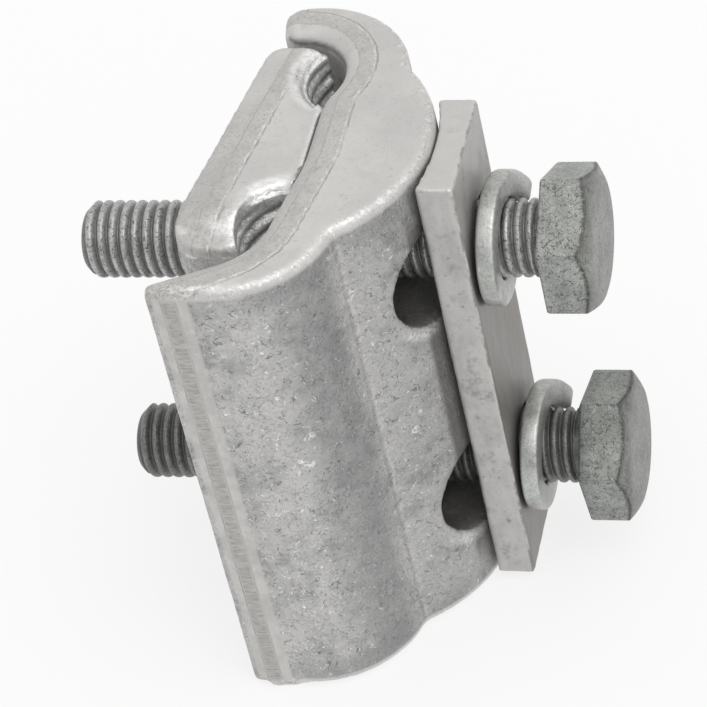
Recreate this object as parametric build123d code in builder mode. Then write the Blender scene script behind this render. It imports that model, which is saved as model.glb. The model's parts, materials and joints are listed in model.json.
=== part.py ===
"""Parallel groove clamp for joining two overhead conductors side by side.

Two forged aluminium jaws hold one conductor at each side of a row of two M10 bolts. The bolts pass through
split washers, a hollowed pressure plate and two slots in the outer jaw, and screw into the inner jaw. The
outer jaw's round back lobe rocks in the plate, so that the clamp evens out two conductors of unlike size.

X runs along the bolts towards their heads, Y across the clamp towards the hook, Z up along the conductors.
The clamp stands on its lower end. The origin is on that plane, under the middle of the clamp's bounding box.
"""
import os
from math import cos, radians, sin, sqrt, tan

from build123d import *

# Bolts, M10 hexagon head, threaded to the head
thread_diameter = 9.9
upper_bolt_length = 60.0
lower_bolt_length = 60.8
bolt_spacing = 36.0
head_across_flats = 17.0
head_height = 6.4
crown_diameter = 15.4
crown_angle = 30.0
neck_diameter = 9.1
neck_length = 1.4
tip_chamfer = 1.0
head_standoff = 8.4
upper_head_turn = 31.8
lower_head_turn = 43.8

# Split spring washers
washer_bore = 10.4
washer_width = 3.3
washer_thickness = 2.4
washer_rise = 1.2
washer_rise_bend = 1.5
washer_kick = 1.5
washer_kick_bend = 12
washer_edge = 0.7
washer_sweep = 345
washer_step = 15
washer_turn = 1.0

# Pressure plate
plate_length = 66.6
plate_width = 17.4
plate_thickness = 5.0
plate_seat_radius = 34.0
plate_hole_diameter = 11.0
plate_edge = 0.3

# Outer jaw, across the bolts
outer_jaw_length = 69.2
web_thickness = 15.4
lobe_radius = 20.5
land_round = 5.0
crease_round = 1.6
tip_round = 1.9
rim_chamfer = 0.8

# Outer jaw's hook, with its bore and its outer wall
hook_bore_radius = 7.0
hook_bore_inset = 5.6
hook_bore_y = 13.0
hook_wall_lean = 20.0
hook_wall_radius = 13.8
hook_wall_shift_x = 1.6
hook_wall_shift_y = -0.5
hook_tip_reach = 8.0

# Outer jaw's lip, with its bore and its outer wall
lip_bore_radius = 8.8
lip_bore_inset = 10.9
lip_bore_y = -14.5
lip_wall_lean = 10.0
lip_slope = 25.0
lip_wall_radius = 13.8
lip_wall_shift_x = 3.6
lip_wall_shift_y = 0.1
lip_tip_reach = 14.9

# Outer jaw's slots, which leave the bolts room when the jaw rocks
slot_width = 13.0
slot_length = 26.0
slot_draft = 3.0

# Inner jaw
inner_jaw_length = 67.6
inner_top = 18.8
inner_bottom = -17.4
inner_thickness = 12.0
inner_back_slope = 9.0
inner_top_round = 2.6
inner_bottom_round = 3.3
upper_groove_radius = 6.8
upper_groove_inset = 3.6
upper_groove_y = 13.6
lower_groove_radius = 6.0
lower_groove_inset = -0.5
lower_groove_y = -14.0
mouth_width = 1.4
mouth_length = 2.4
tooth_pitch = 3.7
tooth_depth = 0.7

# Trimmed flash, a raised band where the forging dies met
flash_width = 2.2
flash_height = 0.3
outer_flash_depth = 3.2
inner_flash_depth = 4.2
lip_flash_reach = 11.8
lip_flash_width = 1.6

# Clearances
thread_clearance = 0.05
jaw_clearance = 0.3
seat_clearance = 0.1
washer_clearance = 0.05


def sagitta(radius, half_chord):
    """Depth of an arc below its chord."""
    return radius - sqrt(radius**2 - half_chord**2)


def crossing(centre_a, radius_a, centre_b, radius_b):
    """Point where two circles cross, the one nearer to the plate."""
    step = Vector(*centre_b) - Vector(*centre_a)
    along = (radius_a**2 - radius_b**2 + step.length**2) / (2 * step.length)
    aside = sqrt(radius_a**2 - along**2)
    foot = Vector(*centre_a) + step.normalized() * along
    normal = step.normalized().rotate(Axis.Z, 90)
    return max(foot + normal * aside, foot - normal * aside, key=lambda point: point.X)


# Places on the section, with X from the plate's outer face and Y from the bolts
plate_middle = plate_thickness - sagitta(plate_seat_radius, plate_width / 2)
lobe_apex = -plate_middle - seat_clearance
lobe_centre = (lobe_apex - lobe_radius, 0)
land = lobe_apex - web_thickness
hook_bore = (land - hook_bore_inset, hook_bore_y)
hook_wall = (hook_bore[0] + hook_wall_shift_x, hook_bore[1] + hook_wall_shift_y)
hook_tip = land - hook_tip_reach
lip_bore = (land - lip_bore_inset, lip_bore_y)
lip_wall = (lip_bore[0] + lip_wall_shift_x, lip_bore[1] + lip_wall_shift_y)
lip_floor = lip_wall[1] - lip_wall_radius
lip_tip = land - lip_tip_reach
inner_front = land - jaw_clearance
upper_groove = (inner_front + upper_groove_inset, upper_groove_y)
lower_groove = (inner_front + lower_groove_inset, lower_groove_y)
hook_crease = crossing(lobe_centre, lobe_radius, hook_wall, hook_wall_radius)
lip_crease = crossing(lobe_centre, lobe_radius, lip_wall, lip_wall_radius)
beyond = 100.0

# The frame, centred on the bolts' length, the outer jaw's width and the clamp's height
bolt_length = {"upper": upper_bolt_length, "lower": lower_bolt_length}
under_head = (max(bolt_length.values()) - head_height) / 2
plate_face = under_head - head_standoff
bolt_y = (flash_height - lip_floor - hook_wall[1] - hook_wall_radius) / 2
clamp_height = outer_jaw_length + 2 * flash_height
bolt_height = {"upper": (clamp_height + bolt_spacing) / 2, "lower": (clamp_height - bolt_spacing) / 2}
head_turn = {"upper": upper_head_turn, "lower": lower_head_turn}


def level(height):
    """Level plane at a height from the clamp's middle, with its origin on the plate's outer face."""
    return Plane(origin=(plate_face, bolt_y, clamp_height / 2 + height))


def across_bolts(x, z=0.0, turn=0.0):
    """Plane square to the bolts, at x from the plate's outer face, with its own X turned from Y towards Z."""
    side = (0, cos(radians(turn)), sin(radians(turn)))
    return Plane(origin=(plate_face + x, bolt_y, z), x_dir=side, z_dir=(1, 0, 0))


def land_corner(bore, radius, lean, wall):
    """Point where the leaning wall that runs on from a bore meets the land."""
    rise = ((wall - bore[0]) * cos(radians(lean)) - radius) / sin(radians(lean))
    return (wall, bore[1] + rise)


def mouth(depth=0.0):
    """Edges round the outer jaw's open side, along its inner wall or a line at a depth inside that wall."""
    wall = land + depth
    hook_radius = hook_bore_radius + depth
    lip_radius = lip_bore_radius + depth
    hook_corner = land_corner(hook_bore, hook_radius, hook_wall_lean, wall)
    lip_corner = land_corner(lip_bore, lip_radius, lip_wall_lean, wall)
    with BuildLine() as edges:
        top = Line((-beyond, hook_bore[1] + hook_radius), (hook_bore[0], hook_bore[1] + hook_radius))
        hook = CenterArc(hook_bore, hook_radius, 90, -90 - hook_wall_lean)
        lip = CenterArc(lip_bore, lip_radius, -lip_wall_lean, lip_slope - 90 + lip_wall_lean)
        Polyline(hook @ 1, hook_corner, lip_corner, lip @ 0)
        run = ((lip @ 1).X - lip_tip) / cos(radians(lip_slope))
        slope = PolarLine(lip @ 1, run, 180 + lip_slope)
        Polyline(slope @ 1, (lip_tip, -beyond), (-beyond, -beyond), top @ 0)
        for corner in (hook_corner, lip_corner):
            fillet(edges.vertices().sort_by_distance(corner)[0], land_round)
    return edges.edges()


def outer_section():
    """The outer jaw's section: back lobe, hook lobe and lip lobe, with the mouth taken out."""
    with BuildSketch() as section:
        with Locations(lobe_centre):
            Circle(lobe_radius)
        with Locations(hook_wall):
            Circle(hook_wall_radius)
        with Locations(lip_wall):
            Circle(lip_wall_radius)
            Rectangle(lip_wall[0] - lip_tip, lip_wall_radius, align=(Align.MAX, Align.MAX))
        make_face(mouth(), mode=Mode.SUBTRACT)
        with Locations((hook_tip, hook_bore_y)):
            Rectangle(beyond, 2 * hook_wall_radius, align=(Align.MAX, Align.MIN), mode=Mode.SUBTRACT)
        for crease in (hook_crease, lip_crease):
            fillet(section.vertices().sort_by_distance(crease)[0], crease_round)
        for corner in (hook_bore_y + hook_bore_radius, hook_bore_y + hook_wall_radius):
            fillet(section.vertices().sort_by_distance((hook_tip, corner))[0], tip_round)
    return section.sketch


# Outer jaw: forged section with rounded rims, drafted slots and raised flash on both ends
with BuildPart() as outer_jaw:
    with BuildSketch(level(-outer_jaw_length / 2)):
        add(outer_section())
    extrude(amount=outer_jaw_length)
    rounded = (lobe_radius, hook_wall_radius, lip_wall_radius, crease_round)
    rims = outer_jaw.edges().filter_by(GeomType.CIRCLE)
    rims = rims.filter_by(lambda rim: any(abs(rim.radius - size) < 0.001 for size in rounded))
    chamfer(rims, rim_chamfer)
    with BuildSketch(level(-outer_jaw_length / 2)):
        with Locations((land - lip_flash_reach, lip_floor)):
            Rectangle(lip_flash_width, 2 * flash_height)
    extrude(amount=outer_jaw_length)
    with BuildSketch(across_bolts(lobe_apex)):
        with Locations(*[(0, height) for height in bolt_height.values()]):
            SlotOverall(slot_length, slot_width)
    extrude(amount=-2 * web_thickness, taper=slot_draft, mode=Mode.SUBTRACT)
    for side in (-1, 1):
        with BuildSketch(level(side * outer_jaw_length / 2)):
            add(outer_section())
            make_face(mouth(outer_flash_depth + flash_width / 2), mode=Mode.INTERSECT)
            make_face(mouth(outer_flash_depth - flash_width / 2), mode=Mode.SUBTRACT)
            with Locations((land - lip_flash_reach, 0)):
                Rectangle(beyond, 2 * beyond, align=(Align.MAX, Align.CENTER), mode=Mode.SUBTRACT)
        extrude(amount=side * flash_height)


def groove_cutter(radius):
    """Half section of the round that a groove leaves free: a zigzag of teeth between two bell mouths."""
    teeth = int((inner_jaw_length - 2 * mouth_length) / tooth_pitch)
    first = (inner_jaw_length - teeth * tooth_pitch) / 2
    bell = [(1 - sin(radians(turned)), 1 - cos(radians(turned))) for turned in (0, 40)]
    corners = [(0, 0)]
    for out, up in bell:
        corners.append((radius + mouth_width * out, first * up))
    for index in range(teeth):
        corners.append((radius, first + index * tooth_pitch))
        corners.append((radius + tooth_depth, first + (index + 0.5) * tooth_pitch))
    corners.append((radius, inner_jaw_length - first))
    for out, up in reversed(bell):
        corners.append((radius + mouth_width * out, inner_jaw_length - first * up))
    return corners + [(0, inner_jaw_length)]


def back_at(y, inset=0.0):
    """Point at an inset from the inner jaw's slanted back."""
    return (inner_front - inner_thickness + y * tan(radians(inner_back_slope)) + inset, y)


# Inner jaw: slanted back, two toothed grooves, two tapped holes and raised flash on both ends
with BuildPart() as inner_jaw:
    inner_foot = level(-inner_jaw_length / 2)
    top_corner = back_at(inner_top)
    bottom_corner = back_at(inner_bottom)
    with BuildSketch(inner_foot) as blank:
        Polygon((inner_front, inner_top), top_corner, bottom_corner, (inner_front, inner_bottom), align=None)
        fillet(blank.vertices().sort_by_distance(top_corner)[0], inner_top_round)
        fillet(blank.vertices().sort_by_distance(bottom_corner)[0], inner_bottom_round)
        make_face(mouth(-jaw_clearance), mode=Mode.INTERSECT)
    extrude(amount=inner_jaw_length)
    for centre, radius in ((upper_groove, upper_groove_radius), (lower_groove, lower_groove_radius)):
        groove = Plane(origin=inner_foot.from_local_coords((*centre, 0)), x_dir=(1, 0, 0), z_dir=(0, -1, 0))
        with BuildSketch(groove):
            Polygon(*groove_cutter(radius), align=None)
        revolve(axis=Axis(groove.origin, (0, 0, 1)), mode=Mode.SUBTRACT)
    with BuildSketch(across_bolts(inner_front)):
        with Locations(*[(0, height) for height in bolt_height.values()]):
            Circle(thread_diameter / 2 + thread_clearance)
    extrude(amount=-2 * inner_thickness, mode=Mode.SUBTRACT)
    flash_top = inner_top - inner_top_round
    flash_bottom = inner_bottom + inner_bottom_round
    for side in (-1, 1):
        with BuildSketch(level(side * inner_jaw_length / 2)):
            Polygon(
                back_at(flash_top, inner_flash_depth - flash_width / 2),
                back_at(flash_top, inner_flash_depth + flash_width / 2),
                back_at(flash_bottom, inner_flash_depth + flash_width / 2),
                back_at(flash_bottom, inner_flash_depth - flash_width / 2),
                align=None,
            )
        extrude(amount=side * flash_height)

# Pressure plate: bar hollowed on its inner side, with a round hole for each bolt
with BuildPart() as pressure_plate:
    with BuildSketch(level(-plate_length / 2)):
        Rectangle(plate_thickness, plate_width, align=(Align.MAX, Align.CENTER))
        with Locations((-plate_middle - plate_seat_radius, 0)):
            Circle(plate_seat_radius, mode=Mode.SUBTRACT)
    extrude(amount=plate_length)
    chamfer(pressure_plate.edges().filter_by(GeomType.LINE), plate_edge)
    with BuildSketch(across_bolts(0)):
        with Locations(*[(0, height) for height in bolt_height.values()]):
            Circle(plate_hole_diameter / 2)
    extrude(amount=-plate_thickness, mode=Mode.SUBTRACT)

os.makedirs("parts", exist_ok=True)
for piece, name in ((outer_jaw, "outer_jaw"), (inner_jaw, "inner_jaw"), (pressure_plate, "pressure_plate")):
    piece.part.label = name
    export_step(piece.part, f"parts/{name}.step")

# Bolts: chamfered hexagon head, a short neck and the shank at the thread's outer diameter
for name, height in bolt_height.items():
    head_face = across_bolts(head_standoff, height, head_turn[name])
    bolt_section = Plane(origin=head_face.origin, x_dir=(1, 0, 0), z_dir=(0, -1, 0))
    bolt_axis = Axis(bolt_section.origin, (1, 0, 0))
    crown_radius = crown_diameter / 2
    crown_reach = crown_radius + head_height / tan(radians(crown_angle))
    shank = thread_diameter / 2
    neck = neck_diameter / 2
    tip = -bolt_length[name]
    with BuildPart() as bolt:
        with BuildSketch(head_face):
            RegularPolygon(head_across_flats / 2, 6, major_radius=False)
        extrude(amount=head_height)
        with BuildSketch(bolt_section):
            Polygon((0, 0), (head_height, 0), (head_height, crown_radius), (0, crown_reach), align=None)
        revolve(axis=bolt_axis, mode=Mode.INTERSECT)
        with BuildSketch(bolt_section):
            Polygon(
                (0, 0),
                (0, neck),
                (-neck_length, neck),
                (-neck_length - shank + neck, shank),
                (tip + tip_chamfer, shank),
                (tip, shank - tip_chamfer),
                (tip, 0),
                align=None,
            )
        revolve(axis=bolt_axis)
    bolt.part.label = f"bolt_{name}"
    export_step(bolt.part, f"parts/bolt_{name}.step")


def bar_at(turned, height):
    """Plane across a washer's bar, whose left-handed coil runs nearly flat and then kicks up at its free end."""
    done = turned / washer_sweep
    rise = washer_rise * done**washer_rise_bend + washer_kick * done**washer_kick_bend
    ring = across_bolts(washer_clearance + washer_thickness / 2 + rise, height, washer_turn - turned)
    middle = ring.from_local_coords(((washer_bore + washer_width) / 2, 0, 0))
    return Plane(origin=middle, x_dir=ring.x_dir, z_dir=-ring.y_dir)


# Spring washers: one coil of a bevelled bar, resting on the plate with its free end towards the head
for name, height in bolt_height.items():
    with BuildPart() as washer:
        for turned in range(0, washer_sweep + 1, washer_step):
            with BuildSketch(bar_at(turned, height)) as bar:
                Rectangle(washer_width, washer_thickness)
                chamfer(bar.vertices(), washer_edge)
        loft(ruled=True)
    washer.part.label = f"spring_washer_{name}"
    export_step(washer.part, f"parts/spring_washer_{name}.step")
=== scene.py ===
"""Studio scene for the parallel groove clamp.

The two jaws and the plate are dense, soft-edged copies of the CAD solids with the forging's own relief, the bolts
get helical threads and rounded heads, and the split washers a rounded bar. All metals are procedural.
"""
import json
from math import cos, pi, radians, sin, tan

import bmesh
import bpy
import numpy as np
from mathutils import Matrix, Vector


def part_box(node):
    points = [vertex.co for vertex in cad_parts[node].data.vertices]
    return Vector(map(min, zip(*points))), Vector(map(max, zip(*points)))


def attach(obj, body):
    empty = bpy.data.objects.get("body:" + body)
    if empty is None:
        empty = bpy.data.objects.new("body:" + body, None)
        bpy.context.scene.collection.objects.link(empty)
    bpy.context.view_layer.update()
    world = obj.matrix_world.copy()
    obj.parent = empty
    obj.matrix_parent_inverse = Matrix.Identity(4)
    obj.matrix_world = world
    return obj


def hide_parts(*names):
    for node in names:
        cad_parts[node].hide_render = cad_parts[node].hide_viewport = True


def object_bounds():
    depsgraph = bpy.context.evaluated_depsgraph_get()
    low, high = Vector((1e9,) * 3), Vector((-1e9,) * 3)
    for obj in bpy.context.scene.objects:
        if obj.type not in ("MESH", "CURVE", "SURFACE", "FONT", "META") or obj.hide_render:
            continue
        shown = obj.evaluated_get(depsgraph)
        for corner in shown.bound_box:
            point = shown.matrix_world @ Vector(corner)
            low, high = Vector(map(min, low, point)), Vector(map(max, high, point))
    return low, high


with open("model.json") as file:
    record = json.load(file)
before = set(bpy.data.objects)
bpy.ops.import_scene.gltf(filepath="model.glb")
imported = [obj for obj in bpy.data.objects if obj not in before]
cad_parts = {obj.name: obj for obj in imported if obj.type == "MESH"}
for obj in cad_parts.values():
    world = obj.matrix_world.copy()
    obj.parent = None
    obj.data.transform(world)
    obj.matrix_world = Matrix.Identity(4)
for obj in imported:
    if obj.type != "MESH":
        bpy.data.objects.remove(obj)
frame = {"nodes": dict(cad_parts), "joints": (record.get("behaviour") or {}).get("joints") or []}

cad_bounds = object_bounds()
MM = 0.001
scene = bpy.context.scene
nodes = frame["nodes"]

# Camera, at the photograph's own perspective
camera_data = bpy.data.cameras.new("camera")
camera_data.sensor_width = 36.0
camera_data.lens = 199.5
camera_data.clip_start = 0.01
camera = bpy.data.objects.new("camera", camera_data)
scene.collection.objects.link(camera)
right = Vector((0.96399, 0.19627, -0.17946))
down = Vector((0.00471, -0.68731, -0.72635))
forward = Vector((-0.26590, 0.69934, -0.66349))
turn = Matrix((right, -down, -forward)).transposed()
camera.matrix_world = Matrix.Translation((0.132378, -0.351871, 0.367858)) @ turn.to_4x4()
scene.camera = camera

# The clamp's own places, in mm: X from the plate's outer face, Y from the bolts, Z from the middle of the height
joints = {joint["name"]: joint for joint in frame["joints"]}
origin = np.array(joints["upper_bolt_turning"]["pos_m"]) / MM
origin[2] = (cad_bounds[0].z + cad_bounds[1].z) / 2 / MM
OUTER_END = 34.6
INNER_END = 33.8
LAND = -19.368
LOBE = ((-24.468, 0.0), 20.5)
HOOK_WALL = ((-23.368, 12.5), 13.8)
LIP_WALL = ((-26.668, -14.4), 13.8)
HOOK_BORE = ((-24.968, 13.0), 7.0)
LIP_BORE = ((-30.268, -14.5), 8.8)
UPPER_GROOVE = ((-16.068, 13.6), 6.8)
LOWER_GROOVE = ((-20.168, -14.0), 6.0)
BAND_DEPTH = 3.2
BAND_WIDTH = 2.2


def smooth(value, low, high):
    """0 below low, 1 above high and a smooth step between them. With low above high it falls instead."""
    share = np.clip((value - low) / (high - low), 0.0, 1.0)
    return share * share * (3.0 - 2.0 * share)


def hump(value, middle, half_width):
    """1 at middle, falling smoothly to 0 at half_width either side."""
    return smooth(np.abs(value - middle), half_width, 0.0)


def lattice(cell):
    """A repeatable random number from 0 to 1 for each whole-number cell."""
    mixed = cell[..., 0] * 127.1 + cell[..., 1] * 311.7 + cell[..., 2] * 74.7
    return np.modf(np.abs(np.sin(mixed) * 43758.5453))[0]


def noise(points, size, octaves=3, stretch=(1.0, 1.0, 1.0), shift=0.0):
    """Smooth value noise from -1 to 1 over points in mm, its largest features about size across."""
    total = np.zeros(len(points))
    weight = 1.0
    scale = np.array(stretch) / size
    for octave in range(octaves):
        place = points * scale * 2**octave + shift + 17.3 * octave
        base = np.floor(place)
        share = place - base
        share = share * share * (3.0 - 2.0 * share)
        value = np.zeros(len(points))
        for corner in np.ndindex(2, 2, 2):
            part = np.prod(np.where(np.array(corner) == 1, share, 1.0 - share), axis=1)
            value += part * lattice(base + corner)
        total += weight * (2.0 * value - 1.0)
        weight *= 0.5
    return total


def dense_copy(name, node, voxel):
    """An evenly meshed copy of a CAD node, ready for its relief."""
    mesh = nodes[node].data.copy()
    work = bmesh.new()
    work.from_mesh(mesh)
    bmesh.ops.remove_doubles(work, verts=work.verts, dist=0.002 * MM)
    work.to_mesh(mesh)
    work.free()
    piece = bpy.data.objects.new(name, mesh)
    scene.collection.objects.link(piece)
    remesh = piece.modifiers.new("remesh", "REMESH")
    remesh.mode = "VOXEL"
    remesh.voxel_size = voxel * MM
    ready = bpy.data.meshes.new_from_object(piece.evaluated_get(bpy.context.evaluated_depsgraph_get()))
    piece.modifiers.clear()
    piece.data = ready
    ready.name = name
    ready.materials.clear()
    ready.shade_smooth()
    return piece


def points_of(mesh):
    """Vertices and vertex normals, in mm in the clamp's own places."""
    co = np.zeros(len(mesh.vertices) * 3, np.float32)
    mesh.vertices.foreach_get("co", co)
    normals = np.zeros(len(mesh.vertices) * 3, np.float32)
    mesh.vertex_normals.foreach_get("vector", normals)
    return co.reshape(-1, 3).astype(float) / MM - origin, normals.reshape(-1, 3).astype(float)


def relax(mesh, points, weight, passes):
    """Points drawn towards their neighbours, each by its weight, which rounds edges."""
    edges = np.zeros(len(mesh.edges) * 2, np.int32)
    mesh.edges.foreach_get("vertices", edges)
    a, b = edges.reshape(-1, 2).T
    shared = np.bincount(edges, minlength=len(points))[:, None]
    for _ in range(passes):
        total = [np.bincount(a, points[b, i], len(points)) + np.bincount(b, points[a, i], len(points)) for i in range(3)]
        points = points + 0.5 * weight[:, None] * (np.stack(total, axis=1) / shared - points)
    return points


def move_points(mesh, points):
    placed = np.clip((points + origin) * MM, *(np.array(corner) for corner in cad_bounds))
    mesh.vertices.foreach_set("co", placed.astype(np.float32).ravel())
    mesh.update()


def store(mesh, name, values):
    """A value for each vertex, which the material reads."""
    layer = mesh.attributes.new(name, "FLOAT", "POINT")
    layer.data.foreach_set("value", values.astype(np.float32))


def to_circle(points, circle):
    """Distance of each point from a circle in the section, positive outside it."""
    (x, y), radius = circle
    return np.hypot(points[:, 0] - x, points[:, 1] - y) - radius


def to_line(points, line):
    """Distance of each point from a line of points in the section."""
    best = np.full(len(points), np.inf)
    flat = points[:, :2]
    for start, end in zip(line[:-1], line[1:]):
        step = np.subtract(end, start)
        along = np.clip((flat - start) @ step / (step @ step), 0.0, 1.0)
        best = np.minimum(best, np.linalg.norm(flat - start - along[:, None] * step, axis=1))
    return best


def arc(circle, start, end, count=24):
    """Points on a circle from one angle to another, in degrees."""
    (x, y), radius = circle
    return [(x + radius * cos(radians(a)), y + radius * sin(radians(a))) for a in np.linspace(start, end, count)]


def finish_piece(piece, body, node, material):
    piece.data.materials.append(material)
    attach(piece, body)
    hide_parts(node)


# The outer jaw's inner wall, from the hook's tip round to the lip's tip
MOUTH = [(-29.4, 25.0), (-29.4, 20.3), (-29.0, 20.0)] + arc(HOOK_BORE, 90, -20) + [(LAND, 7.9), (LAND, -3.4)] + arc(LIP_BORE, -10, -65)
MOUTH += [(-36.0, MOUTH[-1][1] - (MOUTH[-1][0] + 36.0) * tan(radians(25)))]


ROLL_WIDTH = 2.6
ROLL_DEPTH = 1.3
SLOT_HALF_WIDTH = 6.5
SLOT_HALF_LENGTH = 13.0
BOLT_HEIGHTS = (18.0, -18.0)


def to_slots(points):
    """Distance from the walls of the nearer bolt slot, across the bolts."""
    best = np.full(len(points), np.inf)
    for height in BOLT_HEIGHTS:
        beyond = np.maximum(np.abs(points[:, 1]) - (SLOT_HALF_LENGTH - SLOT_HALF_WIDTH), 0.0)
        best = np.minimum(best, np.abs(np.hypot(beyond, points[:, 2] - height) - SLOT_HALF_WIDTH))
    return best


def to_point(points, place, width=0.55):
    """1 on a line along the conductors through a point of the section, 0 from width away on."""
    return smooth(np.hypot(points[:, 0] - place[0], points[:, 1] - place[1]), width, 0.1)


def crossing(first, second):
    """The crossing of two circles of the section with the larger X."""
    (x0, y0), r0 = first
    (x1, y1), r1 = second
    gap = np.hypot(x1 - x0, y1 - y0)
    along = (r0**2 - r1**2 + gap**2) / (2 * gap)
    aside = np.sqrt(r0**2 - along**2)
    ux, uy = (x1 - x0) / gap, (y1 - y0) / gap
    both = [(x0 + along * ux - s * aside * uy, y0 + along * uy + s * aside * ux) for s in (-1, 1)]
    return max(both)


CREASE = crossing(LOBE, LIP_WALL)


def outer_jaw_piece():
    piece = dense_copy("outer_jaw_forging", "outer_jaw", 0.42)
    mesh = piece.data
    points, normals = points_of(mesh)
    ending = np.maximum(OUTER_END - np.abs(points[:, 2]), 0.0)
    on_land = smooth(np.abs(points[:, 1] - 2.2), 6.8, 6.2) * smooth(np.abs(points[:, 0] - LAND), 2.5, 1.5)
    points = relax(mesh, points, 1.0 - on_land, 5)
    slot_lip = smooth(to_slots(points), 2.6, 1.4) * smooth(points[:, 0], -19.0, -17.0)
    points = relax(mesh, points, slot_lip, 26)
    facing_land = on_land * smooth(-normals[:, 0], 0.5, 0.9)
    points[:, 0] -= 0.10 * facing_land
    tip = smooth(-points[:, 0], 26.0, 28.6) * smooth(points[:, 1], 14.0, 17.0)
    points[:, 0] -= 0.9 * tip
    points = relax(mesh, points, tip, 45)
    inner = to_line(points, MOUTH)
    hook = smooth(points[:, 1], 5.5, 9.5)
    roll = np.sqrt(1.0 - np.clip(1.0 - inner / ROLL_WIDTH, 0.0, 1.0) ** 2)
    drop = ROLL_DEPTH * (1.0 - roll) * np.clip(1.0 - ending / 3.0, 0.0, 1.0) * (0.25 + 0.75 * hook)
    points[:, 2] -= np.sign(points[:, 2]) * drop
    outside = np.maximum.reduce([-to_circle(points, circle) for circle in (LOBE, HOOK_WALL, LIP_WALL)])
    outside = np.maximum(outside, 0.0)
    flat_end = smooth(np.abs(normals[:, 2]), 0.55, 0.9) * smooth(ending, 1.4, 0.6)
    wander = 0.25 * noise(points, 6.0, 2)
    band = smooth(np.abs(inner - BAND_DEPTH + wander), BAND_WIDTH / 2 + 0.25, BAND_WIDTH / 2 - 0.15) * flat_end
    lip_face = smooth(-normals[:, 1], 0.75, 0.95) * smooth(points[:, 0], -28.0, -29.2)
    shear = hump(points[:, 0], LAND - 11.8, 1.05) * lip_face
    height = 0.045 * noise(points, 7.0, 3) + 0.02 * noise(points, 1.3, 2, shift=5.0)
    height += band * (0.04 * noise(points, 1.0, 3, shift=9.0))
    strokes = np.sin(2 * pi * (points[:, 2] + 0.25 * noise(points, 3.0, 1, shift=3.0)) / 1.25)
    height += shear * (0.03 * strokes + 0.03 * noise(points, 0.7, 2, shift=2.0))
    height *= 1.0 - np.maximum(slot_lip, on_land)
    move_points(mesh, points + normals * height[:, None])
    store(mesh, "end", np.maximum(flat_end, smooth(np.abs(points[:, 2]), OUTER_END - 1.6, OUTER_END - 1.1) * smooth(inner, 0.1, 0.4)))
    store(mesh, "depth", inner)
    store(mesh, "rim", outside + ending)
    outward = smooth(-normals[:, 1], 0.15, 0.45)
    # painted highlight on the lower lip of each bolt slot, whose upward face is lit from above
    store(mesh, "wear_and_painted_highlight", 0.6 * slot_lip * outward * hump(points[:, 2] % 36.0, 11.5, 3.5))
    store(mesh, "lip", lip_face)
    wall = smooth(inner, 1.1, 0.6) * hook
    store(mesh, "scuffed", 0.7 * smooth(points[:, 0], -29.0, -31.5) * smooth(points[:, 1], 0.0, -5.0) * smooth(ending, 2.0, 1.0))
    # painted shadow: a dark line where the hook's rolled lip turns down into its inner wall
    store(mesh, "crease_shadow", wall * hump(ending, 0.75, 0.42))
    store(mesh, "wall", wall * smooth(ending, 0.3, 0.9))
    outer_side = smooth(-normals[:, 1], 0.2, 0.5) * (1.0 - flat_end)
    from_crease = points[:, 0] - CREASE[0]
    # painted shadow inside the bolt slots and in the gap beside the plate
    slot_shadow = smooth(to_slots(points), 1.6, 0.8) * smooth(points[:, 0], -19.0, -17.0) * (1.0 - outward)
    gap = smooth(points[:, 0], -6.85, -6.35) * smooth(np.abs(points[:, 2]), 32.0, 25.0) * outer_side
    store(mesh, "gap_shadow", np.maximum(gap, 0.9 * slot_shadow))
    # painted highlight: a thin light line along the fold where the lobe meets the lip wall
    store(mesh, "step", to_point(points + [-0.25, 0, 0], CREASE) * outer_side)
    # painted shade beside that fold, mostly on the lip wall's side, and a little over the lobe's side
    shade = smooth(from_crease, 0.15, -0.05) * smooth(from_crease, -9.0, 0.0)
    shade = 0.75 * shade + 0.25 * smooth(from_crease, -9.0, -4.0) + 0.10 * smooth(from_crease, 0.5, 2.0)
    store(mesh, "shade", shade * outer_side)
    return piece


def tooth_height(points, circle, pitch=2.35, slant=1.3):
    """Rounded teeth round a groove, each slanting a little along the conductor."""
    angle = groove_angle(points, circle)
    phase = (np.abs(points[:, 2]) - INNER_END + slant * angle) / pitch
    return (0.5 + 0.5 * np.cos(2 * pi * phase)) ** 0.8


def groove_angle(points, circle):
    """Angle round a groove's centre, from 0 to a full turn, from the plate's side by way of the hook's."""
    (x, y), _ = circle
    angle = np.arctan2(points[:, 1] - y, points[:, 0] - x)
    return np.where(angle < 0, angle + 2 * pi, angle)


INNER_FRONT = -19.668
MOUTH_DEPTH = 2.6
MOUTH_ROLL = 2.4


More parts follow.
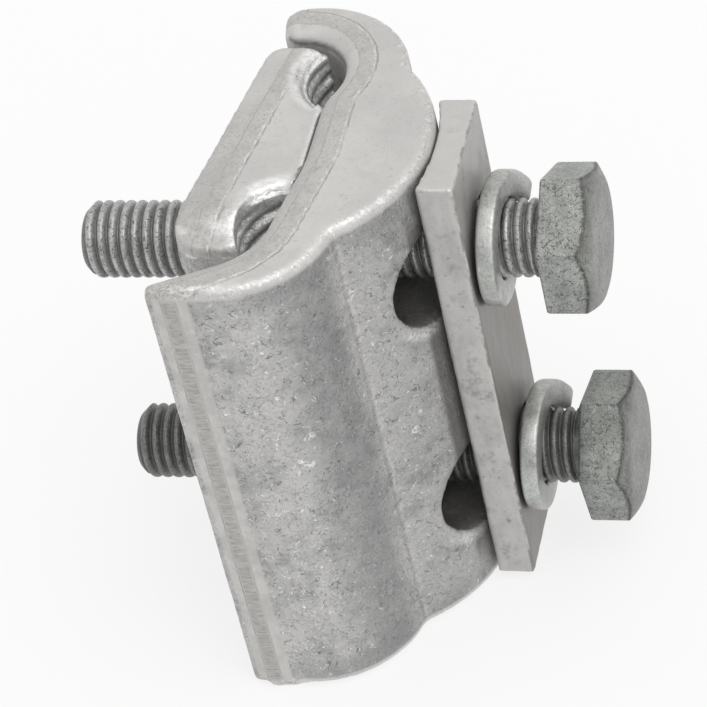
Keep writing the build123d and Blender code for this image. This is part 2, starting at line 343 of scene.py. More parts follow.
def inner_jaw_piece():
    piece = dense_copy("inner_jaw_forging", "inner_jaw", 0.34)
    mesh = piece.data
    points, normals = points_of(mesh)
    front = INNER_FRONT - points[:, 0]
    at_front = smooth(front, 1.6, 1.0)
    points = relax(mesh, points, 1.0 - at_front, 8)
    end = np.maximum(INNER_END - np.abs(points[:, 2]), 0.0)
    at_corner = (front < 0.8) & (end < 0.8) & (points[:, 1] > -8.2) & (points[:, 1] < 7.6)
    points[:, 2] += np.where(at_corner & (end < front), np.sign(points[:, 2]) * end, 0.0)
    points[:, 0] += np.where(at_corner & (front <= end), front, 0.0) + 0.10 * smooth(front, 0.6, 0.2)
    flat_end = smooth(np.abs(normals[:, 2]), 0.55, 0.9) * smooth(end, 1.4, 0.6)
    wear_and_painted_highlight = np.zeros(len(points))
    moved = points.copy()
    for circle, left_mouth in ((UPPER_GROOVE, 1.0), (LOWER_GROOVE, 0.15)):
        (x, y), radius = circle
        depth = to_circle(points, circle)
        outward = np.stack([points[:, 0] - x, points[:, 1] - y, np.zeros(len(points))], axis=1)
        outward /= np.linalg.norm(outward, axis=1)[:, None]
        facing = smooth(-(outward * normals).sum(axis=1), 0.05, 0.35) * smooth(depth, 2.2, 1.5)
        tooth = tooth_height(points, circle)
        angle = groove_angle(points, circle)
        flare = 1.4 * (left_mouth + (1.0 - left_mouth) * smooth(angle, radians(168), radians(128)))
        into = np.clip(1.0 - end / MOUTH_DEPTH, 0.0, 1.0)
        bell = flare * (1.0 - np.sqrt(1.0 - into**2))
        deep = smooth(end, MOUTH_DEPTH - 0.9, MOUTH_DEPTH + 0.5)
        wanted = np.maximum(bell, deep * (0.85 - 0.95 * tooth))
        moved += outward * (facing * (wanted - depth))[:, None]
        # teeth and groove mouths lightened partly as wear from the conductor and partly as painted highlight
        touched = facing * np.maximum(deep * (0.35 + 0.65 * tooth), 1.0 - deep)
        spread = left_mouth + (1.0 - left_mouth) * smooth(angle, radians(168), radians(128))
        outer = np.clip(1.0 - (depth - 0.6) / MOUTH_ROLL, 0.0, 1.0) * spread * smooth(front, 0.4, 1.2)
        moved[:, 2] -= np.sign(points[:, 2]) * 1.0 * outer**2 * smooth(end, 1.5, 0.3)
        wear_and_painted_highlight = np.maximum.reduce([wear_and_painted_highlight, touched * smooth(depth, 2.4, 1.6), smooth(outer, 0.15, 0.6) * smooth(end, 2.0, 1.0)])
    rolled = smooth(moved[:, 1], -11.5, -17.6) * smooth(end, 5.0, 0.0)
    moved[:, 2] -= np.sign(points[:, 2]) * 2.0 * rolled
    moved = relax(mesh, moved, 0.2 + 0.8 * rolled, 3)
    back = (points[:, 0] - LAND + 12.3) * cos(radians(9)) - points[:, 1] * sin(radians(9))
    wander = 0.25 * noise(points, 5.0, 2)
    band = smooth(np.abs(back - 4.2 + wander), BAND_WIDTH / 2 + 0.35, BAND_WIDTH / 2 - 0.1) * flat_end
    height = 0.035 * noise(points, 6.0, 3, shift=4.0) + 0.015 * noise(points, 1.2, 2, shift=6.0)
    height += band * 0.04 * noise(points, 1.0, 3, shift=8.0)
    height *= (1.0 - 0.6 * wear_and_painted_highlight) * (1.0 - at_front)
    move_points(mesh, moved + normals * height[:, None])
    store(mesh, "end", np.maximum(flat_end, rolled))
    store(mesh, "depth", back - 1.0)
    store(mesh, "rim", np.full(len(points), 9.0))
    # painted highlight along the rounded front edge; spots of wear round the rolled corner
    front_edge = smooth(np.hypot(front, end), 0.45, 0.15) * (points[:, 1] > -8.2) * (points[:, 1] < 7.6)
    corner_edge = 0.7 * hump(rolled, 0.55, 0.35) * smooth(noise(points, 1.5, 2), -0.2, 0.3)
    store(mesh, "wear_and_painted_highlight", np.maximum.reduce([wear_and_painted_highlight, front_edge, corner_edge]))
    store(mesh, "scuffed", 0.8 * smooth(points[:, 1], -9.5, -13.0) * smooth(end, 6.0, 2.0))
    for name in ("lip", "crease_shadow", "wall", "gap_shadow", "step", "shade"):
        store(mesh, name, np.zeros(len(points)))
    return piece


def plate_piece():
    piece = dense_copy("plate_bar", "pressure_plate", 0.32)
    points, normals = points_of(piece.data)
    points = relax(piece.data, points, np.ones(len(points)), 2)
    height = 0.05 * noise(points, 8.0, 2, (1, 1, 0.4)) + 0.02 * noise(points, 1.0, 2, (1, 1, 0.3), 3.0)
    move_points(piece.data, points + normals * height[:, None])
    low, high = (np.array(corner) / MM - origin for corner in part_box("pressure_plate"))
    depths = np.maximum(np.minimum(points - low, high - points), 0.0)
    outer_depth = high[0] - points[:, 0]
    store(piece.data, "outer", smooth(outer_depth, 0.30, 0.12))
    store(piece.data, "end", smooth(depths[:, 2], 0.30, 0.12) * smooth(outer_depth, 0.12, 0.30))
    # on the plate this is wear alone: light and dark spots along the edges
    store(piece.data, "wear_and_painted_highlight", smooth(np.sort(depths, axis=1)[:, 1], 0.45, 0.15))
    return piece


# Bolts, M10: the CAD shank's outer diameter is the thread's
SHANK = 4.95
THREAD_PITCH = 1.5
THREAD_DEPTH = 0.62
ACROSS_FLATS = 17.0
HEAD_HEIGHT = 6.4
CROWN = 7.7


def rounded_hexagon(turned, corner=0.45, per_side=10, per_corner=5):
    """Radius and angle of points round a hexagon with rounded corners."""
    outline = []
    reach = (ACROSS_FLATS / 2 - corner) / cos(pi / 6)
    for side in range(6):
        centre = turned + side * pi / 3
        middle = np.array([reach * cos(centre), reach * sin(centre)])
        for turn_share in np.linspace(-pi / 6, pi / 6, per_corner):
            outline.append(middle + corner * np.array([cos(centre + turn_share), sin(centre + turn_share)]))
        following = centre + pi / 3
        last = outline[-1]
        first = reach * np.array([cos(following), sin(following)])
        first += corner * np.array([cos(following - pi / 6), sin(following - pi / 6)])
        for share in np.arange(1, per_side) / per_side:
            outline.append(last + (first - last) * share)
    return np.array(outline)


def head_shell(turned):
    """Vertices and faces of a bolt head, its underside at x 0."""
    outline = rounded_hexagon(turned)
    radius = np.linalg.norm(outline, axis=1)
    drop = (radius - CROWN) * tan(radians(30))
    side_top = HEAD_HEIGHT - drop
    rings = [(np.zeros(len(radius)), radius * 0.55), (np.zeros(len(radius)), radius - 0.5)]
    rings += [(np.full(len(radius), 0.12), radius - 0.12), (np.full(len(radius), 0.4), radius)]
    rings += [(side_top * share, radius) for share in (0.35, 0.65, 0.9)]
    rings += [(side_top - 0.12, radius), (side_top + 0.06, radius - 0.14)]
    for share in (0.35, 0.7):
        rings.append((side_top + drop * share, radius + (CROWN - radius) * share))
    rings += [(np.full(len(radius), HEAD_HEIGHT - 0.12), np.full(len(radius), CROWN + 0.1))]
    rings += [(np.full(len(radius), HEAD_HEIGHT), np.full(len(radius), reach)) for reach in (CROWN - 0.25, 5.0, 2.5)]
    vertices = [(0.0, 0.0, 0.0)]
    direction = outline / radius[:, None]
    for x, reach in rings:
        vertices += [(a, b, c) for a, (b, c) in zip(x, direction * reach[:, None])]
    vertices.append((HEAD_HEIGHT, 0.0, 0.0))
    count = len(radius)
    faces = []
    for index in range(count):
        after = (index + 1) % count
        faces.append((0, 1 + after, 1 + index))
        for ring in range(len(rings) - 1):
            low, high = 1 + ring * count, 1 + (ring + 1) * count
            faces.append((low + index, low + after, high + after, high + index))
        top = 1 + (len(rings) - 1) * count
        faces.append((top + index, top + after, len(vertices) - 1))
    return vertices, faces


def thread_shell(length, around=80, per_pitch=12):
    """Vertices and faces of a right-hand thread from x 0.3 down to the tip, before both ends are trimmed."""
    rows = int((length + 2 * THREAD_PITCH) / THREAD_PITCH * per_pitch)
    row, column = np.meshgrid(np.arange(rows), np.arange(around), indexing="ij")
    x = -length - 1.5 * THREAD_PITCH + THREAD_PITCH * (row / per_pitch + column / around)
    angle = 2 * pi * column / around
    wave = (0.5 - 0.5 * np.cos(2 * pi * row / per_pitch)) ** 1.8
    radius = SHANK - THREAD_DEPTH * wave
    radius = np.minimum(radius, SHANK - 1.1 + np.maximum(x + length, -0.5))
    radius = np.where(x > -1.4, np.minimum(radius, 4.5), radius)
    vertices = np.stack([x, radius * np.cos(angle), radius * np.sin(angle)], axis=-1).reshape(-1, 3)
    faces = []
    for r in range(rows - 1):
        for c in range(around - 1):
            corner = r * around + c
            faces.append((corner, corner + 1, corner + around + 1, corner + around))
    for r in range(rows - 1 - per_pitch):
        corner = r * around + around - 1
        following = (r + per_pitch) * around
        faces.append((corner, following, following + around, corner + around))
    return vertices, faces


def bolt_piece(name, node, joint, length, turned):
    height = joints[joint]["pos_m"][2] / MM
    low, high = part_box(node)
    under_head = high.x / MM - HEAD_HEIGHT
    vertices, faces = thread_shell(length)
    work = bmesh.new()
    made = [work.verts.new(vertex) for vertex in vertices]
    for face in faces:
        work.faces.new([made[index] for index in face])
    for x, side in ((-length, -1), (0.3, 1)):
        everything = work.verts[:] + work.edges[:] + work.faces[:]
        bmesh.ops.bisect_plane(work, geom=everything, plane_co=(x, 0, 0), plane_no=(side, 0, 0), clear_outer=True)
    bmesh.ops.holes_fill(work, edges=[edge for edge in work.edges if edge.is_boundary], sides=0)
    vertices, faces = head_shell(turned)
    made = [work.verts.new(vertex) for vertex in vertices]
    for face in faces:
        work.faces.new([made[index] for index in face])
    bmesh.ops.recalc_face_normals(work, faces=work.faces)
    place = Vector((under_head, origin[1], height))
    for vertex in work.verts:
        vertex.co = (vertex.co + place) * MM
    mesh = bpy.data.meshes.new(name)
    work.to_mesh(mesh)
    work.free()
    mesh.shade_smooth()
    points, normals = points_of(mesh)
    from_axis = np.hypot(points[:, 1], points[:, 2] + origin[2] - height)
    on_head = smooth(points[:, 0], under_head - origin[0] + 0.2, under_head - origin[0] + 0.6)
    # painted shade on the head's top face, which faces away from the light
    store(mesh, "crown_shade", on_head * smooth(normals[:, 0], 0.3, 0.8))
    store(mesh, "edge", on_head * smooth(np.abs(normals[:, 0] - 0.42), 0.42, 0.2))
    # painted shade in the thread's grooves
    store(mesh, "valley_shade", (1.0 - on_head) * smooth(from_axis, SHANK - 0.22, SHANK - 0.55))
    store(mesh, "thread", 1.0 - on_head)
    piece = bpy.data.objects.new(name, mesh)
    scene.collection.objects.link(piece)
    return piece


def washer_piece(name, node, joint, steps=150, around=28):
    """A split spring washer: one left-hand coil that kicks up at its free end."""
    height = joints[joint]["pos_m"][2] / MM
    radius = 6.85
    vertices, faces = [], []
    for step in range(steps + 1):
        done = step / steps
        angle = radians(1 - 345 * done)
        rise = 1.25 + 1.2 * done**1.5 + 1.5 * done**12
        taper = 1.0 - 0.10 * smooth(np.abs(done - 0.5), 0.49, 0.5)
        for index in range(around):
            a = 2 * pi * index / around
            across = abs(cos(a)) ** 0.36 * np.sign(cos(a)) * 1.68 * taper
            along = abs(sin(a)) ** 0.36 * np.sign(sin(a)) * 1.22 * taper
            reach = radius + across
            vertices.append((origin[0] + rise + along, origin[1] + reach * cos(angle), height + reach * sin(angle)))
    for step in range(steps):
        for index in range(around):
            after = (index + 1) % around
            low, high = step * around, (step + 1) * around
            faces.append((low + index, low + after, high + after, high + index))
    faces.append(tuple(range(around)))
    faces.append(tuple(range(steps * around, (steps + 1) * around))[::-1])
    mesh = bpy.data.meshes.new(name)
    mesh.from_pydata([Vector(vertex) * MM for vertex in vertices], [], faces)
    mesh.update()
    work = bmesh.new()
    work.from_mesh(mesh)
    bmesh.ops.recalc_face_normals(work, faces=work.faces)
    work.to_mesh(mesh)
    work.free()
    mesh.shade_smooth()
    piece = bpy.data.objects.new(name, mesh)
    scene.collection.objects.link(piece)
    return piece


class Tree:
    """Short names for the shader nodes that the materials are made of."""

    def __init__(self, material):
        material.use_nodes = True
        self.tree = material.node_tree
        self.tree.nodes.clear()
        self.output = self.tree.nodes.new("ShaderNodeOutputMaterial")
        self.shader = self.tree.nodes.new("ShaderNodeBsdfPrincipled")
        self.tree.links.new(self.shader.outputs[0], self.output.inputs["Surface"])
        local = self.node("ShaderNodeVectorMath", operation="MULTIPLY_ADD")
        self.feed(local.inputs[0], self.node("ShaderNodeTexCoord").outputs["Object"])
        local.inputs[1].default_value = (1 / MM, 1 / MM, 1 / MM)
        local.inputs[2].default_value = tuple(-origin)
        self.place = local.outputs[0]

    def node(self, kind, **settings):
        made = self.tree.nodes.new(kind)
        for key, value in settings.items():
            setattr(made, key, value)
        return made

    def feed(self, socket, value):
        if isinstance(value, bpy.types.NodeSocket):
            self.tree.links.new(value, socket)
        elif value is not None:
            socket.default_value = value

    def math(self, operation, a, b=None, clamp=False):
        made = self.node("ShaderNodeMath", operation=operation, use_clamp=clamp)
        self.feed(made.inputs[0], a)
        self.feed(made.inputs[1], b)
        return made.outputs[0]

    def times(self, *values):
        product = values[0]
        for value in values[1:]:
            product = self.math("MULTIPLY", product, value)
        return product

    def attribute(self, name):
        return self.node("ShaderNodeAttribute", attribute_name=name).outputs["Fac"]

    def along(self, axis):
        split = self.node("ShaderNodeSeparateXYZ")
        self.feed(split.inputs[0], self.place)
        return split.outputs[axis]

    def ramp(self, value, low, high, start=0.0, end=1.0):
        made = self.node("ShaderNodeMapRange", interpolation_type="SMOOTHSTEP")
        for socket, number in zip(made.inputs, (value, low, high, start, end)):
            self.feed(socket, number)
        return made.outputs[0]

    def near(self, value, middle, wide, narrow):
        """1 where a value lies within narrow of middle, 0 from wide on."""
        return self.ramp(self.math("ABSOLUTE", self.math("SUBTRACT", value, middle)), wide, narrow)

    def noise(self, size, detail=3.0, roughness=0.55, stretch=(1, 1, 1), shift=0.0, distortion=0.0):
        mapping = self.node("ShaderNodeMapping")
        self.feed(mapping.inputs[0], self.place)
        mapping.inputs["Scale"].default_value = stretch
        mapping.inputs["Location"].default_value = (shift, shift, shift)
        made = self.node("ShaderNodeTexNoise")
        self.feed(made.inputs["Vector"], mapping.outputs[0])
        made.inputs["Scale"].default_value = 1.0 / size
        made.inputs["Detail"].default_value = detail
        made.inputs["Roughness"].default_value = roughness
        made.inputs["Distortion"].default_value = distortion
        return made.outputs[0]

    def hairs(self, size, width, share, shift=0.0, stretch=(1, 1, 1)):
        """Short thin strokes in all directions, over a share of the surface."""
        field = self.noise(size, 1.0, 0.5, stretch, shift, 1.2)
        patches = self.noise(size * 0.55, 2.0, 0.6, stretch, shift + 31.0)
        return self.times(self.near(field, 0.5, width, width * 0.25), self.ramp(patches, 1.0 - share, 1.06 - share))

    def mix(self, factor, a, b):
        made = self.node("ShaderNodeMix", data_type="RGBA")
        self.feed(made.inputs[0], factor)
        self.feed(made.inputs[6], a)
        self.feed(made.inputs[7], b)
        return made.outputs[2]

    def bump(self, height, distance, strength=1.0, normal=None):
        made = self.node("ShaderNodeBump")
        self.feed(made.inputs["Strength"], strength)
        made.inputs["Distance"].default_value = distance * MM
        self.feed(made.inputs["Height"], height)
        self.feed(made.inputs["Normal"], normal)
        return made.outputs[0]


def grey(value, warmth=0.0):
    return (value * (1 + warmth), value, value * (1 - warmth), 1.0)


def forged_aluminium():
    """Shot-blasted forging: mottled sides, smooth pale ends, rough trimmed flash and rims bright from wear, with
    painted shadow in creases, gaps and slots and painted highlights on edges, slot lips and groove mouths.
    """
    material = bpy.data.materials.new("forged_aluminium")
    t = Tree(material)
    s = t.shader.inputs
    s["Metallic"].default_value = 0.6
    end = t.attribute("end")
    wear_and_painted_highlight = t.attribute("wear_and_painted_highlight")
    lip = t.attribute("lip")
    broad = t.noise(9.0, 3.0, 0.55)
    patch = t.noise(2.4, 4.0, 0.6, shift=13.0)
    mottle = t.noise(0.9, 4.0, 0.7, shift=3.0)
    speck = t.noise(0.42, 3.0, 0.65, shift=7.0)
    pale_hairs = t.math("MAXIMUM", t.hairs(2.2, 0.011, 0.50, 2.0), t.hairs(1.4, 0.016, 0.47, 43.0))
    dark_hairs = t.math("MAXIMUM", t.hairs(2.4, 0.011, 0.53, 19.0), t.hairs(1.5, 0.016, 0.49, 61.0))

    # Sides
    tone = t.mix(t.ramp(broad, 0.35, 0.65), grey(0.29, 0.0), grey(0.49, 0.012))
    tone = t.mix(t.ramp(patch, 0.38, 0.62, 0.0, 0.72), tone, grey(0.56, 0.012))
    tone = t.mix(t.ramp(mottle, 0.38, 0.65, 0.0, 0.5), tone, grey(0.52, 0.01))
    tone = t.mix(t.ramp(speck, 0.52, 0.68, 0.0, 0.45), tone, grey(0.22, -0.01))
    tone = t.mix(t.times(dark_hairs, 0.75), tone, grey(0.13, 0.0))
    tone = t.mix(t.times(pale_hairs, 0.75), tone, grey(0.95, 0.0))
    below_rim = t.times(t.ramp(t.attribute("rim"), 6.0, 2.5), t.ramp(patch, 0.36, 0.58), 0.4)
    tone = t.mix(below_rim, tone, grey(0.19, -0.02))
    tone = t.mix(t.times(t.attribute("shade"), 0.60), tone, grey(0.16, -0.01))
    # painted shadow in the gap beside the plate and inside the bolt slots
    tone = t.mix(t.times(t.attribute("gap_shadow"), 0.78), tone, grey(0.10, 0.06))
    # painted highlight line along the fold between the lobe and the lip wall
    tone = t.mix(t.times(t.attribute("step"), t.ramp(mottle, 0.40, 0.6, 0.0, 0.4)), tone, grey(0.70, 0.01))

    # The lip's smooth strips and its sheared band, with a painted shadow line along either side of the band
    x = t.along("X")
    strip = t.times(lip, t.ramp(x, LAND - 9.2, LAND - 9.7), t.ramp(x, LAND - 14.2, LAND - 13.7))
    smooth_tone = t.mix(t.ramp(patch, 0.35, 0.65), grey(0.49, 0.03), grey(0.57, 0.03))
    tone = t.mix(t.times(strip, 0.85), tone, smooth_tone)
    sheared = t.times(lip, t.near(t.math("ADD", x, t.times(mottle, 0.3)), LAND - 11.65, 0.85, 0.7))
    ticks = t.noise(0.27, 2.0, 0.5, (0.16, 1, 1), 5.0)
    tone = t.mix(sheared, tone, t.mix(t.ramp(ticks, 0.30, 0.70), grey(0.33, 0.03), grey(0.48, 0.03)))
    for place, strength in ((LAND - 12.6, 0.55), (LAND - 10.7, 0.35)):
        shade = t.near(t.math("ADD", x, t.times(mottle, 0.35)), place, 0.16, 0.05)
        shade = t.times(lip, shade, t.ramp(patch, 0.40, 0.60, 0.3, 1.0), strength)
        tone = t.mix(shade, tone, grey(0.16, 0.03))

    # Ends: a rougher strip inside the trimmed flash, smooth and pale outside it
    pale = t.mix(t.ramp(broad, 0.35, 0.65), grey(0.56, 0.018), grey(0.61, 0.026))
    pale = t.mix(t.ramp(patch, 0.5, 0.7, 0.0, 0.35), pale, grey(0.50, 0.02))
    pale = t.mix(t.ramp(speck, 0.60, 0.72, 0.0, 0.45), pale, grey(0.34, 0.02))
    pale = t.mix(t.times(dark_hairs, t.math("ADD", t.times(t.attribute("scuffed"), 0.5), 0.18)), pale, grey(0.16, 0.02))
    pale = t.mix(t.times(t.attribute("scuffed"), t.ramp(mottle, 0.40, 0.60, 0.2, 0.7)), pale, grey(0.36, 0.03))
    depth = t.math("ADD", t.attribute("depth"), t.ramp(mottle, 0.2, 0.8, -0.16, 0.16))
    y = t.along("Y")
    strip_inside = t.times(t.ramp(depth, 2.3, 1.9), t.ramp(y, 9.0, 6.0))
    band = t.near(depth, BAND_DEPTH, 1.2, 0.95)
    rough_band = t.mix(t.ramp(patch, 0.35, 0.65), grey(0.44, 0.03), grey(0.54, 0.03))
    rough_band = t.mix(t.ramp(speck, 0.50, 0.66, 0.0, 0.6), rough_band, grey(0.27, 0.03))
    pale = t.mix(t.math("MAXIMUM", t.times(band, 0.7), t.times(strip_inside, 0.6)), pale, rough_band)
    broken = t.ramp(patch, 0.38, 0.55, 0.25, 1.0)
    elsewhere = t.ramp(mottle, 0.45, 0.60, 0.0, 1.0)
    far_edge = BAND_DEPTH + BAND_WIDTH / 2
    # the raised flash band's edges: a painted shadow just outside its far edge, a painted highlight just inside it and
    # a painted shadow line at its near edge
    pale = t.mix(t.times(t.near(depth, far_edge + 0.14, 0.16, 0.04), broken, 0.6), pale, grey(0.20, 0.06))
    pale = t.mix(t.times(t.near(depth, far_edge - 0.10, 0.18, 0.04), elsewhere, 0.5), pale, grey(0.85, 0.02))
    near_line = t.near(depth, BAND_DEPTH - BAND_WIDTH / 2, 0.14, 0.04)
    pale = t.mix(t.times(near_line, broken, 0.5), pale, grey(0.28, 0.05))
    tone = t.mix(end, tone, pale)
    band = t.times(end, t.math("MAXIMUM", band, strip_inside))

    # Rims bright from wear; groove mouths, teeth, slot lips and front edges lightened partly as wear and partly as
    # painted highlight
    rim = t.math("ADD", t.attribute("rim"), t.ramp(mottle, 0.25, 0.75, -0.6, 0.6))
    rubbed = t.times(t.ramp(rim, 1.1, 0.45), t.ramp(x, LAND - 13.0, LAND - 6.0, 0.35, 1.0))
    bright = t.times(rubbed, t.ramp(speck, 0.42, 0.56, 1.0, 0.0))
    tone = t.mix(t.times(bright, 0.75), tone, grey(0.80, 0.01))
    tone = t.mix(t.times(rubbed, t.ramp(speck, 0.55, 0.68), 0.6), tone, grey(0.25, 0.0))
    brushed = t.noise(0.5, 3.0, 0.6, (0.45, 1, 1), 27.0)
    marks = t.times(t.ramp(brushed, 0.42, 0.62, 1.0, 0.45), t.ramp(dark_hairs, 0.0, 1.0, 1.0, 0.4))
    tone = t.mix(t.times(wear_and_painted_highlight, marks), tone, grey(0.80, 0.0))
    tone = t.mix(t.times(t.attribute("wall"), 0.6), tone, grey(0.42, 0.02))
    # painted shadow line where the hook's rolled lip meets its inner wall
    tone = t.mix(t.times(t.attribute("crease_shadow"), 0.75), tone, grey(0.09, 0.03))
    t.feed(s["Base Color"], tone)
    rough = t.ramp(mottle, 0.3, 0.7, 0.42, 0.56)
    t.feed(s["Roughness"], t.math("SUBTRACT", rough, t.times(t.math("MAXIMUM", wear_and_painted_highlight, bright), 0.14)))
    side = t.math("SUBTRACT", 1.0, t.math("MAXIMUM", end, t.times(strip, 0.8)))
    grain = t.math("ADD", t.times(side, 0.9), t.math("MAXIMUM", t.times(band, 0.5), t.attribute("scuffed")))
    normal = t.bump(mottle, 0.12, t.math("ADD", grain, 0.15, True))
    rubbing = t.math("MAXIMUM", rubbed, t.times(wear_and_painted_highlight, 0.8))
    normal = t.bump(speck, 0.07, t.math("ADD", grain, t.times(rubbing, 0.9), True), normal)
    normal = t.bump(brushed, 0.10, t.times(rubbing, 0.8), normal)
    relief = t.math("SUBTRACT", t.times(pale_hairs, 0.5), dark_hairs)
    t.feed(s["Normal"], t.bump(relief, 0.04, side, normal))
    return material


def drawn_aluminium():
    """Drawn bar: fine lines along its length, dull patches and a few dents, with painted shade and a warm painted
    reflection on its outer face.
    """
    material = bpy.data.materials.new("drawn_aluminium")
    t = Tree(material)
    s = t.shader.inputs
    s["Metallic"].default_value = 0.6
    lines = t.noise(0.6, 3.0, 0.6, (1, 1, 0.05))
    broad = t.noise(6.0, 4.0, 0.6, (1, 1, 0.6), 2.0)
    cloud = t.noise(1.8, 4.0, 0.65, (1, 1, 0.6), 21.0)
    speck = t.noise(0.6, 3.0, 0.65, shift=5.0)
    scratches = t.hairs(2.2, 0.02, 0.42, 8.0)
    tone = t.mix(t.ramp(broad, 0.38, 0.62), grey(0.40, 0.012), grey(0.50, 0.03))
    tone = t.mix(t.ramp(cloud, 0.4, 0.65, 0.0, 0.5), tone, grey(0.56, 0.02))
    tone = t.mix(t.ramp(lines, 0.45, 0.75, 0.0, 0.25), tone, grey(0.50, 0.01))
    tone = t.mix(t.ramp(speck, 0.60, 0.70, 0.0, 0.35), tone, grey(0.22, 0.02))
    smudge = t.noise(2.6, 3.0, 0.6, (1, 1, 0.7), 33.0)
    tone = t.mix(t.times(t.ramp(smudge, 0.56, 0.68), t.ramp(speck, 0.40, 0.60, 0.3, 1.0), 0.5), tone, grey(0.20, 0.03))
    tone = t.mix(t.times(scratches, 0.6), tone, grey(0.16, 0.02))
    # painted shade with a warm painted reflection over the outer face, lighter towards its top end
    outer_face_shade = t.ramp(t.along("Z"), 31.0, 16.0, 0.25, 0.80)
    tone = t.mix(t.times(t.attribute("outer"), outer_face_shade), tone, grey(0.17, 0.08))
    tone = t.mix(t.times(t.attribute("end"), 0.6), tone, grey(0.62, 0.025))
    tone = t.mix(t.times(t.attribute("wear_and_painted_highlight"), t.ramp(cloud, 0.40, 0.60, 0.7, 0.0)), tone, grey(0.70, 0.0))
    tone = t.mix(t.times(t.attribute("wear_and_painted_highlight"), t.ramp(cloud, 0.48, 0.62, 0.0, 0.7)), tone, grey(0.18, 0.02))
    t.feed(s["Base Color"], tone)
    t.feed(s["Roughness"], t.ramp(broad, 0.3, 0.7, 0.40, 0.50))
    t.feed(s["Normal"], t.bump(speck, 0.03, 0.6, t.bump(lines, 0.015, 0.5)))
    return material


def galvanised_steel(name, tint, cracks, painted_thread_share=0.0, painted_thread_tone=0.0):
    """Hot-dip zinc: dull greenish grey with grain, dark crackle and paler patches, with painted shade in the thread's
    grooves and on the head's top face, and the whole thread pulled towards a set tone, lighter as painted light on the
    upper bolt and darker as painted shade on the lower.
    """
    material = bpy.data.materials.new(name)
    t = Tree(material)
    s = t.shader.inputs
    s["Metallic"].default_value = 0.65
    broad = t.noise(3.5, 4.0, 0.65)
    grain = t.noise(0.5, 4.0, 0.7, shift=4.0)
    pits = t.noise(0.8, 3.0, 0.7, shift=9.0)
    crackle = t.math("MAXIMUM", t.hairs(1.1, 0.026, 0.64, 14.0), t.hairs(0.8, 0.030, 0.60, 37.0))
    dark, light = tint
    tone = t.mix(t.ramp(broad, 0.35, 0.65), dark, light)
    tone = t.mix(t.ramp(grain, 0.54, 0.68, 0.0, 0.45), tone, (0.56, 0.58, 0.55, 1))
    tone = t.mix(t.ramp(pits, 0.58, 0.68, 0.0, 0.6 * cracks), tone, (0.11, 0.115, 0.11, 1))
    # the whole thread pulled towards a set tone: painted light on the upper bolt, painted shade on the lower
    tone = t.mix(t.times(t.attribute("thread"), painted_thread_share), tone, grey(painted_thread_tone))
    tone = t.mix(t.times(crackle, cracks), tone, (0.06, 0.065, 0.06, 1))
    # painted shade in the thread's grooves
    tone = t.mix(t.times(t.attribute("valley_shade"), 0.75), tone, (0.09, 0.095, 0.088, 1))
    # painted shade on the head's top face, which faces away from the light
    tone = t.mix(t.times(t.attribute("crown_shade"), 0.4), tone, (0.12, 0.12, 0.108, 1))
    tone = t.mix(t.times(t.attribute("edge"), t.ramp(grain, 0.35, 0.55, 0.5, 1.0)), tone, (0.05, 0.05, 0.047, 1))
    t.feed(s["Base Color"], tone)
    t.feed(s["Roughness"], t.ramp(grain, 0.3, 0.7, 0.34, 0.50))
    t.feed(s["Normal"], t.bump(pits, -0.05, 0.7, t.bump(grain, 0.04, 0.6)))
    return material


forged = forged_aluminium()
drawn = drawn_aluminium()
# The upper bolt's thread is lightened as painted light; the lower bolt's copy is darker throughout, its thread much
# darker as painted shade beneath the jaw.
bolt_zinc = galvanised_steel("galvanised_bolt", ((0.27, 0.28, 0.265, 1), (0.40, 0.413, 0.392, 1)), 0.8, 0.5, 0.63)
dull_and_shaded_zinc = galvanised_steel("galvanised_bolt_dull_and_shaded", ((0.24, 0.25, 0.235, 1), (0.34, 0.352, 0.332, 1)), 0.8, 0.5, 0.13)
washer_zinc = galvanised_steel("galvanised_washer", ((0.43, 0.44, 0.42, 1), (0.58, 0.59, 0.57, 1)), 0.35)

finish_piece(outer_jaw_piece(), "outer", "outer_jaw", forged)
finish_piece(inner_jaw_piece(), "inner", "inner_jaw", forged)
finish_piece(plate_piece(), "plate", "pressure_plate", drawn)
for word, length, turned, zinc in (("upper", 60.0, 31.8, bolt_zinc), ("lower", 60.8, 43.8, dull_and_shaded_zinc)):
    bolt = bolt_piece(f"{word}_bolt", f"bolt_{word}", f"{word}_bolt_turning", length, radians(turned))
    finish_piece(bolt, f"{word}_bolt", f"bolt_{word}", zinc)
    washer = washer_piece(f"{word}_split_washer", f"spring_washer_{word}", f"{word}_bolt_turning")
    finish_piece(washer, "plate", f"spring_washer_{word}", washer_zinc)

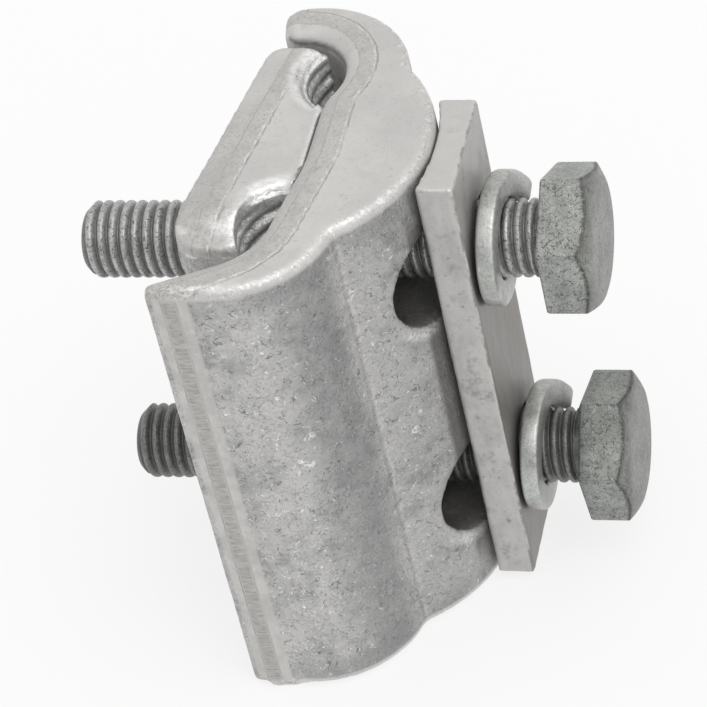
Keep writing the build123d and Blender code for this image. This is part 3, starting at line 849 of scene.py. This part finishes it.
# Floor
reach = 6.0
floor_mesh = bpy.data.meshes.new("floor")
floor_mesh.from_pydata([(-reach, -reach, 0), (reach, -reach, 0), (reach, reach, 0), (-reach, reach, 0)], [], [(0, 1, 2, 3)])
floor = bpy.data.objects.new("floor", floor_mesh)
scene.collection.objects.link(floor)
floor_material = bpy.data.materials.new("floor")
floor_shader = Tree(floor_material).shader.inputs
floor_shader["Base Color"].default_value = (0.20, 0.20, 0.20, 1)
floor_shader["Roughness"].default_value = 1.0
floor_shader["Specular IOR Level"].default_value = 0.0
floor_shader["Emission Color"].default_value = (1, 1, 1, 1)
floor_shader["Emission Strength"].default_value = 0.755
floor_mesh.materials.append(floor_material)

# Light: a soft world with a bright patch overhead, darker towards the bolt heads, and one soft lamp
world = bpy.data.worlds.new("studio")
world.use_nodes = True
w = world.node_tree
sky = w.nodes["Background"]
where = w.nodes.new("ShaderNodeTexCoord")


def glow(direction, low, high, start, end):
    """A strength that rises from start to end as the view turns towards a direction."""
    towards = w.nodes.new("ShaderNodeVectorMath")
    towards.operation = "DOT_PRODUCT"
    towards.inputs[1].default_value = Vector(direction).normalized()
    w.links.new(where.outputs["Generated"], towards.inputs[0])
    fade = w.nodes.new("ShaderNodeMapRange")
    fade.interpolation_type = "SMOOTHSTEP"
    w.links.new(towards.outputs["Value"], fade.inputs[0])
    for socket, number in zip(fade.inputs[1:], (low, high, start, end)):
        socket.default_value = number
    return fade.outputs[0]


both = w.nodes.new("ShaderNodeMath")
w.links.new(glow((0.55, -0.40, 0.73), 0.50, 0.95, 0.0, 0.95), both.inputs[0])
w.links.new(glow((-0.50, 0.45, 0.72), -0.7, 0.8, 0.22, 0.86), both.inputs[1])
w.links.new(both.outputs[0], sky.inputs["Strength"])
sky.inputs["Color"].default_value = (1.0, 0.997, 0.99, 1)
scene.world = world

lamp_data = bpy.data.lights.new("key", "AREA")
lamp_data.size = 0.4
lamp_data.energy = 1.5
lamp = bpy.data.objects.new("key", lamp_data)
lamp.location = (0.45, -0.45, 1.0)
lamp.rotation_euler = (Vector((0, 0, 0.035)) - lamp.location).to_track_quat("-Z", "Y").to_euler()
scene.collection.objects.link(lamp)

scene.view_settings.view_transform = "Standard"
